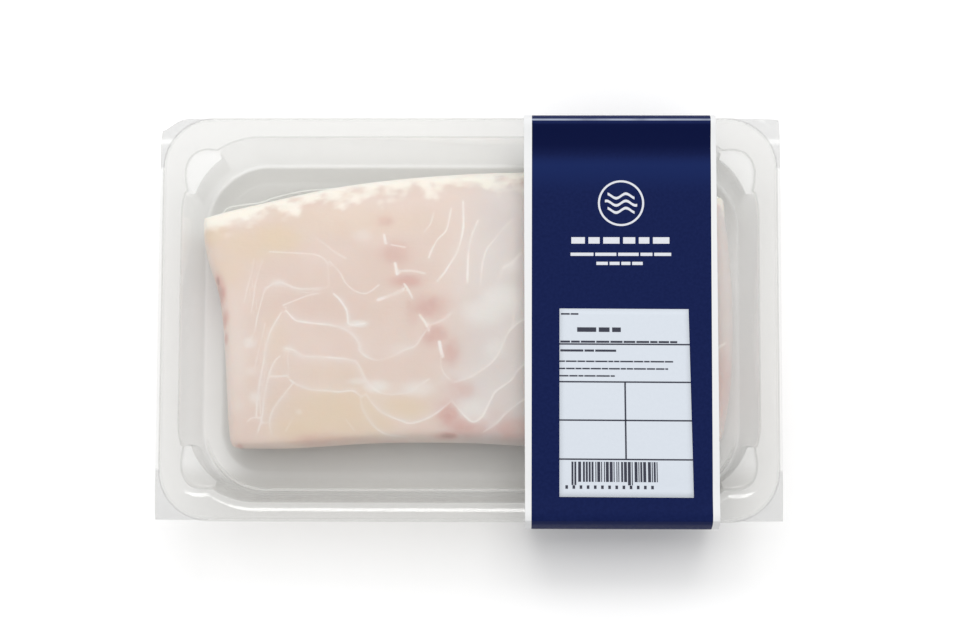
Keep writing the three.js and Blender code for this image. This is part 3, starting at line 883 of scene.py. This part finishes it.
def buildFillet():
    bm = bmesh.new()
    bm.from_mesh(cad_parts["fillet"].data)
    bmesh.ops.remove_doubles(bm, verts=bm.verts, dist=0.00002)
    # the coarse flakes of the solid give way to finer relief
    upper = [vert for vert in bm.verts if vert.co.z > fillet["flakesFrom"] * mm]
    for _ in range(6):
        bmesh.ops.smooth_vert(bm, verts=upper, factor=0.5, use_axis_z=True)
    piece = objectFrom(bm, "fishFillet")
    remesh = piece.modifiers.new("even", "REMESH")
    remesh.mode = "VOXEL"
    remesh.voxel_size = fillet["voxel"] * mm
    applyModifiers(piece)
    bm = bmesh.new()
    bm.from_mesh(piece.data)
    for _ in range(4):
        bmesh.ops.smooth_vert(
            bm, verts=bm.verts, factor=0.5, use_axis_x=True, use_axis_y=True, use_axis_z=True
        )
    for face in bm.faces:
        face.smooth = True
    bm.to_mesh(piece.data)
    bm.free()

    mesh = piece.data
    co = np.zeros(len(mesh.vertices) * 3, np.float32)
    mesh.vertices.foreach_get("co", co)
    co = co.reshape(-1, 3) / mm
    flat = co[:, :2].astype(float)
    offset, far, strength, width, pearl = nearestSeam(flat)
    up = np.array([smoothStep(0.2, 0.8, vert.normal.z) for vert in mesh.vertices])
    bulge = fillet["pillow"] * (1 - np.exp(-far / fillet["pillowReach"]))
    groove = fillet["groove"] * strength * np.exp(-((far / 0.7) ** 2))
    co[:, 2] += up * (bulge - groove + fillet["terrace"] * pearl)
    # the far left corner reaches a little further out
    out = [smoothStep(-80, -96, x) * smoothStep(8, 26, y) * smoothStep(8, 20, z) for x, y, z in co]
    co[:, 0] -= fillet["cornerOut"] * np.array(out)
    mesh.vertices.foreach_set("co", (co * mm).astype(np.float32).ravel())

    edge = curveThrough(fillet["topEdge"])
    below = np.array([heightOn(edge, x) for x in co[:, 0]]) - co[:, 1]
    wobble = np.array([noise.fractal(Vector((x / 9, y / 6, 3.0)), 0.9, 2.0, 4) for x, y in flat])
    # cream band along the far top edge, partly painted light on the side that faces the lamp
    creamAndLitEdge = np.array([smoothStep(9.5, 2.5, b + 7 * w) for b, w in zip(below, wobble)])
    side = np.array([smoothStep(-14, 8, x) for x in flat[:, 0] - 0.1 * flat[:, 1]])
    keep(mesh, "seamOffset", "FLOAT_VECTOR", np.column_stack([offset, np.zeros(len(offset))]))
    for name, values in (
        ("seamFar", far), ("seamStrength", strength * up), ("seamWidth", width),
        ("pearl", pearl * up), ("creamAndLitEdge", creamAndLitEdge * 0.9), ("cool", side * 0.75),
    ):
        keep(mesh, name, "FLOAT", values)
    for name, spots in patches.items():
        keep(mesh, name, "FLOAT", patchSum(flat, spots))
    mesh.materials.append(fishFlesh())
    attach(piece, "root")
    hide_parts("fillet")


buildFillet()

# thin juice round the fillet's far corner, on the raised floor panel. Its rim is drawn pale
# and near opaque, a painted highlight along the edge
juice = {
    "edge": [(-97.5, 44), (-95, 47.2), (-87.5, 48.6), (-82, 49.4), (-77, 51.2), (-66, 53.8),
             (-52, 55), (-42, 56.4)],
    "clear": 0.03,
    "width": 7.0,
    "depth": 0.35,
    "rim": 0.7,
}


def juiceWet():
    shade = Shading("juiceWet")
    shade.set(
        Base_Color=shade.mix(shade.noise(160.0), (0.76, 0.77, 0.73), (0.82, 0.83, 0.8)),
        Roughness=0.12,
        IOR=1.34,
        # paler and more opaque at the rim: a painted highlight along the juice's edge
        Alpha=shade.range(shade.attribute("edge"), 0.0, 1.0, 0.16, 0.85),
    )
    return shade.finish


def buildJuice():
    line = curveThrough(juice["edge"])
    bm = bmesh.new()
    steps = len(line) - 1
    bmesh.ops.create_grid(bm, x_segments=steps, y_segments=10, size=1)
    edge = bm.verts.layers.float.new("edge")
    floor = tray["floor"] + tray["panelRise"]
    for vert in bm.verts:
        i = round((vert.co.x + 1) / 2 * steps)
        inwards = ((1 - vert.co.y) / 2) ** 2
        ahead = line[min(i + 1, steps)] - line[max(i - 1, 0)]
        across = Vector((ahead.y, -ahead.x)).normalized()
        share = inwards * juice["width"]
        place = line[i] + across * share
        rise = juice["depth"] * math.sin(math.pi / 2 * min(1.0, share / juice["rim"]))
        vert[edge] = math.exp(-((share / juice["rim"]) ** 2))
        vert.co = Vector((place.x, place.y, floor + juice["clear"] + rise)) * mm
    faceUp(bm)
    piece = objectFrom(bm, "fishJuice", juiceWet())
    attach(piece, "root")


buildJuice()
print("fillet built")

sleeve = {
    "left": 20.6,
    "width": 71.7,
    "thickness": 0.4,
    "border": (2.7, 2.3),
    "skew": 0.35,
    "fold": 74.5,
    # half widths of the fold line, then the y spans of the painted shade band and the painted sheen band
    "foldLine": (0.2, 0.5),
    "paintedShadeBand": (58, 66, 72.5, 73.5),
    "paintedSheenBand": (45, 57, 57, 62),
    "topCurve": [(0, 41.2), (50, 41.2), (58, 41.1), (63.5, 40.9), (68, 41.25), (72.6, 41.9), (75.1, 41.45)],
    "sideCurve": [(75.1, 41.45), (76.6, 38.25), (77.8, 30.25), (76.2, 20.25), (71.2, 9.25), (64.5, 0.0)],
    "across": [0, 0.15, 1.2, 2.7, 2.9, 6, 14, 24, 36, 48, 58, 66, 69.7, 69.9, 71, 71.55, 71.7],
}
cardTop = curveThrough(sleeve["topCurve"], 12)


# height of the card's outer face over a point, in millimetres
def cardHeight(y):
    return heightOn(cardTop, abs(y))


# share of a band across the card that grows between its first two measures and fades
# between its last two
def bandShare(shade, y, band):
    grown = shade.range(y, band[0] * mm, band[1] * mm)
    return shade.sum("MULTIPLY", grown, shade.range(y, band[2] * mm, band[3] * mm, 1.0, 0.0))


def printedCard():
    shade = Shading("printedCard")
    axes = shade.add("SeparateXYZ", Vector=shade.place).outputs
    x = axes["X"]
    y = axes["Y"]
    left = (sleeve["left"] + sleeve["border"][0]) * mm
    right = (sleeve["left"] + sleeve["width"] - sleeve["border"][1]) * mm
    inside = shade.sum("MULTIPLY", shade.sum("GREATER_THAN", x, left), shade.sum("LESS_THAN", x, right))
    grain = shade.noise(900.0, 3.0, 0.6)
    ink = shade.mix(shade.range(grain, 0.3, 0.7), (0.0045, 0.0095, 0.054), (0.0065, 0.0125, 0.064))
    # paler in a thin line along the far fold: partly worn ink, partly a painted highlight on the
    # fold's round. A painted shade band darkens the ink where the card bends over the rim, with a
    # painted sheen band further in. These go by y alone, so they also mark the lower part of the
    # far side
    ink = shade.mix(bandShare(shade, y, sleeve["paintedShadeBand"]), ink, (0.0018, 0.0045, 0.034))
    ink = shade.mix(bandShare(shade, y, sleeve["paintedSheenBand"]), ink, (0.0068, 0.0155, 0.078))
    fold = shade.sum("ABSOLUTE", shade.sum("SUBTRACT", y, sleeve["fold"] * mm))
    inner, outer = sleeve["foldLine"]
    wornAndLitFold = shade.range(fold, inner * mm, outer * mm, 1.0, 0.0)
    wornAndLitFold = shade.sum("MULTIPLY", wornAndLitFold, shade.range(shade.noise(60.0), 0.3, 0.6, 0.35, 0.8))
    ink = shade.mix(wornAndLitFold, ink, (0.36, 0.4, 0.5))
    board = shade.mix(grain, (0.63, 0.635, 0.64), (0.68, 0.685, 0.69))
    shade.set(
        Base_Color=shade.mix(inside, board, ink),
        Roughness=shade.range(grain, 0.3, 0.7, 0.46, 0.56),
        Normal=shade.bump(shade.noise(420.0, 3.0), 0.03),
        Specular_IOR_Level=0.04,
    )
    return shade.finish


def plainBoard():
    shade = Shading("plainBoard")
    grain = shade.noise(700.0, 4.0, 0.65)
    shade.set(
        Base_Color=shade.mix(grain, (0.74, 0.74, 0.72), (0.84, 0.84, 0.82)),
        Roughness=0.8,
        Normal=shade.bump(grain, 0.05),
    )
    return shade.finish


def buildSleeve():
    side = curveThrough(sleeve["sideCurve"], 7)
    half = [tuple(p) for p in curveThrough(sleeve["topCurve"], 6)] + [tuple(p) for p in side[1:]]
    under = [(y, 0.0) for y in (56, 40, 24, 8)]
    right = half[1:] + under
    section = [(0.0, half[0][1])] + [tuple(p) for p in right] + [(0.0, 0.0)]
    section += [(-y, z) for y, z in reversed(right)]
    bm = bmesh.new()
    bmesh.ops.create_circle(bm, segments=len(section), radius=0.1)
    bm.verts.ensure_lookup_table()
    for vert, (y, z) in zip(bm.verts, section):
        vert.co = Vector((sleeve["left"] - sleeve["skew"] * y / 75, y, z)) * mm
    ring = list(bm.edges)
    for before, after in zip(sleeve["across"], sleeve["across"][1:]):
        ring, verts = nextRing(bm, ring)
        bmesh.ops.translate(bm, verts=verts, vec=Vector((after - before, 0, 0)) * mm)
    bmesh.ops.recalc_face_normals(bm, faces=bm.faces)
    top = max(bm.faces, key=lambda face: face.calc_center_median().z)
    if top.normal.z < 0:
        bmesh.ops.reverse_faces(bm, faces=bm.faces)
    piece = objectFrom(bm, "cardSleeve", printedCard(), plainBoard())
    giveWall(piece, sleeve["thickness"], inner=1, edge=1)
    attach(piece, "root")
    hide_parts("sleeve")


buildSleeve()
print("sleeve built")

label = {
    "left": 33.6,
    "width": 47.8,
    "top": 3.4,
    "length": 69.7,
    "flare": 1.6,
    "flareShift": 0.17,
    "printLift": 0.03,
    "thickness": 0.12,
    "lift": 0.08,
    "turn": -0.004,
    "curl": 0.03,
    "rules": (-9.8, -23.8, -38.0, -52.4),
    "ruleHalf": 0.28,
    "divider": (57.2, 57.8),
}


# a strip on the card, as a grid that follows it. low and high are x and y of two corners
def stripOnCard(bm, low, high, lift, stepsX=1, stepsY=1):
    made = bmesh.ops.create_grid(bm, x_segments=stepsX, y_segments=stepsY, size=0.5)
    for vert in made["verts"]:
        x = blend(low[0], high[0], vert.co.x + 0.5)
        y = blend(low[1], high[1], vert.co.y + 0.5)
        vert.co = Vector((x, y, cardHeight(y) + lift)) * mm
    return made["verts"]


# the label sits a little askew and widens towards its lower end
def turnOnLabel(verts):
    centre = label["left"] + label["width"] / 2
    for vert in verts:
        down = (label["top"] * mm - vert.co.y) / (label["length"] * mm)
        acrossShare = (vert.co.x / mm - label["left"]) / label["width"]
        vert.co.x += label["flare"] * mm * down * (acrossShare + label["flareShift"])
        vert.co.y += (vert.co.x - centre * mm) * label["turn"]
        vert.co.x -= (vert.co.y - label["top"] * mm) * label["turn"]


def labelPaper():
    shade = Shading("labelPaper")
    grain = shade.noise(800.0, 4.0, 0.6)
    shade.set(
        Base_Color=shade.mix(grain, (0.52, 0.56, 0.615), (0.555, 0.595, 0.65)),
        Roughness=0.5,
        Specular_IOR_Level=0.2,
        Normal=shade.bump(grain, 0.03),
    )
    return shade.finish


def printInk(name, colour):
    shade = Shading(name)
    grain = shade.noise(1500.0, 3.0, 0.6)
    pale = tuple(min(1.0, c * 1.25 + 0.004) for c in colour)
    shade.set(Base_Color=shade.mix(grain, colour, pale), Roughness=0.45)
    return shade.finish


def buildLabel():
    bm = bmesh.new()
    low = (label["left"], label["top"] - label["length"])
    high = (label["left"] + label["width"], label["top"])
    verts = stripOnCard(bm, low, high, label["lift"] + label["thickness"], 20, 30)
    for vert in verts:
        edge = min(vert.co.x / mm - low[0], high[0] - vert.co.x / mm)
        edge = min(edge, vert.co.y / mm - low[1], high[1] - vert.co.y / mm)
        vert.co.z += label["curl"] * math.exp(-edge / 1.5) * mm * 0.5
    turnOnLabel(verts)
    faceUp(bm)
    piece = objectFrom(bm, "paperLabel", labelPaper())
    giveWall(piece, label["thickness"])
    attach(piece, "root")
    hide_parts("label")


# a row of words as plain bars, each (low, high)
def wordRow(dice, left, right, y, height, longest):
    bars = []
    x = left
    while x < right - 1:
        end = min(right, x + dice.uniform(0.35, 1.0) * longest)
        bars.append(((x, y - height / 2), (end, y + height / 2)))
        x = end + height * 0.55
    return bars


# random bars that encode nothing, and small marks under them
barCode = {
    "left": 37.9,
    "right": 68.9,
    "top": -53.3,
    "foot": -60.7,
    "longFoot": -61.9,
    "longBars": (0, 1, 18, 19, 38, 39),
    "most": 40,
    "widths": (0.35, 0.35, 0.7, 1.05),
    "gaps": (0.33, 0.33, 0.66),
    "marks": 13,
    "markLeft": 35.7,
    "markStep": 2.55,
    "markWidth": 0.95,
    "markSpan": (-63.3, -62.0),
}


def buildLabelPrint():
    dice = random.Random(12)
    rules = []
    left = label["left"]
    right = left + label["width"]
    half = label["ruleHalf"]
    for y in label["rules"]:
        rules.append(((left, y - half), (right, y + half)))
    dividerLeft, dividerRight = label["divider"]
    rules.append(((dividerLeft, label["rules"][3]), (dividerRight, label["rules"][1])))
    bars = wordRow(dice, 34.1, 40.6, 1.4, 0.6, 5)
    bars += wordRow(dice, 40.1, 57.8, -4.4, 1.7, 9)
    bars += wordRow(dice, 33.9, 76.9, -8.9, 0.75, 6)
    bars += wordRow(dice, 33.9, 54.4, -12.2, 0.8, 9)
    for y, end in ((-16.2, 75.2), (-18.9, 73.3), (-21.6, 53.8)):
        bars += wordRow(dice, 33.6, end, y, 0.55, 5)
    x = barCode["left"]
    for i in range(barCode["most"]):
        wide = dice.choice(barCode["widths"])
        foot = barCode["longFoot"] if i in barCode["longBars"] else barCode["foot"]
        bars.append(((x, foot), (x + wide, barCode["top"])))
        x += wide + dice.choice(barCode["gaps"])
        if x > barCode["right"]:
            break
    low, high = barCode["markSpan"]
    for i in range(barCode["marks"]):
        start = barCode["markLeft"] + barCode["markStep"] * i
        bars.append(((start, low), (start + barCode["markWidth"], high)))
    bm = bmesh.new()
    lift = label["lift"] + label["thickness"] + label["printLift"]
    for low, high in rules + bars:
        turnOnLabel(stripOnCard(bm, low, high, lift, 1, max(1, int((high[1] - low[1]) / 3))))
    faceUp(bm)
    piece = objectFrom(bm, "labelPrint", printInk("labelInk", (0.012, 0.014, 0.03)))
    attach(piece, "root")


emblem = {
    "centre": (56.5, 43.0),
    "radius": 8.6,
    "ring": 0.75,
    "waves": [(2.7, 5.0), (0.0, 6.0), (-2.7, 5.0)],
    "waveHeight": 0.85,
    "waveThickness": 1.0,
    "waveLength": 1.15,
    "lift": 0.03,
}


def buildSleevePrint():
    dice = random.Random(4)
    lift = emblem["lift"]
    bm = bmesh.new()
    centre = emblem["centre"]
    ring = bmesh.ops.create_circle(bm, cap_ends=True, segments=72, radius=emblem["radius"] * mm)["verts"]
    for vert in ring:
        vert.co += Vector((centre[0], centre[1], cardHeight(centre[1]) + lift)) * mm
    disc = list({face for vert in ring for face in vert.link_faces})
    bmesh.ops.inset_region(
        bm, faces=disc, thickness=emblem["ring"] * mm, use_even_offset=True, use_boundary=True
    )
    bmesh.ops.delete(bm, geom=[face for face in disc if face.is_valid], context="FACES_ONLY")
    for away, half in emblem["waves"]:
        low = (centre[0] - half, centre[1] + away - emblem["waveThickness"] / 2)
        high = (centre[0] + half, centre[1] + away + emblem["waveThickness"] / 2)
        for vert in stripOnCard(bm, low, high, lift, 48, 1):
            turn = (vert.co.x / mm - centre[0]) / emblem["waveLength"]
            vert.co.y += emblem["waveHeight"] * math.sin(turn) * mm
    words = wordRow(dice, 38.0, 75.0, 29.0, 2.4, 10)
    words += wordRow(dice, 37.7, 75.5, 23.8, 1.2, 9)
    words += wordRow(dice, 47.3, 65.9, 20.4, 1.2, 8)
    for low, high in words:
        stripOnCard(bm, low, high, lift, 4, 1)
    faceUp(bm)
    piece = objectFrom(bm, "sleevePrint", printInk("whiteInk", (0.5, 0.515, 0.55)))
    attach(piece, "root")


buildLabel()
buildLabelPrint()
buildSleevePrint()
print("label and print built")

light = {
    "world": 0.8,
    "keyTurn": 22.0,
    "keySide": 0.02,
    "keyFar": 1.6,
    "keySize": 1.1,
    "keyPower": 11.8,
    "stripTurn": 30.0,
    "stripSize": (1.1, 0.32),
    "stripPower": 4.4,
    "floor": (0.87, 0.87, 0.87),
    "floorPale": (0.875, 0.875, 0.875),
}


def addLight(name, degrees, size, power, mirrors):
    data = bpy.data.lights.new(name, "AREA")
    data.shape = "RECTANGLE"
    data.size = size[0]
    data.size_y = size[1]
    data.energy = power
    lamp = bpy.data.objects.new(name, data)
    turn = math.radians(degrees)
    lamp.location = Vector((light["keySide"], math.sin(turn), math.cos(turn))) * light["keyFar"]
    lamp.rotation_euler = (-lamp.location).to_track_quat("-Z", "Y").to_euler()
    lamp.visible_glossy = mirrors
    bpy.context.scene.collection.objects.link(lamp)


def addStudio():
    shade = Shading("paleFloor")
    grain = shade.noise(14.0, 2.0)
    shade.set(
        Base_Color=shade.mix(grain, light["floor"], light["floorPale"]),
        Roughness=0.9,
        Specular_IOR_Level=0.1,
    )
    bm = bmesh.new()
    bmesh.ops.create_grid(bm, x_segments=2, y_segments=2, size=3)
    floor = objectFrom(bm, "paleFloor", shade.finish)

    world = bpy.data.worlds.new("studio")
    bpy.context.scene.world = world
    world.use_nodes = True
    sky = world.node_tree.nodes["Background"]
    sky.inputs["Color"].default_value = (1.0, 1.0, 1.0, 1.0)
    sky.inputs["Strength"].default_value = light["world"]

    # the large soft key doesn't mirror in the film, and the slim strip does
    addLight("softKey", light["keyTurn"], (light["keySize"], light["keySize"]), light["keyPower"], False)
    addLight("slimStrip", light["stripTurn"], light["stripSize"], light["stripPower"], True)


addStudio()
scene = bpy.context.scene
scene.view_settings.view_transform = "Standard"
scene.cycles.transparent_max_bounces = 32
print("studio lit")
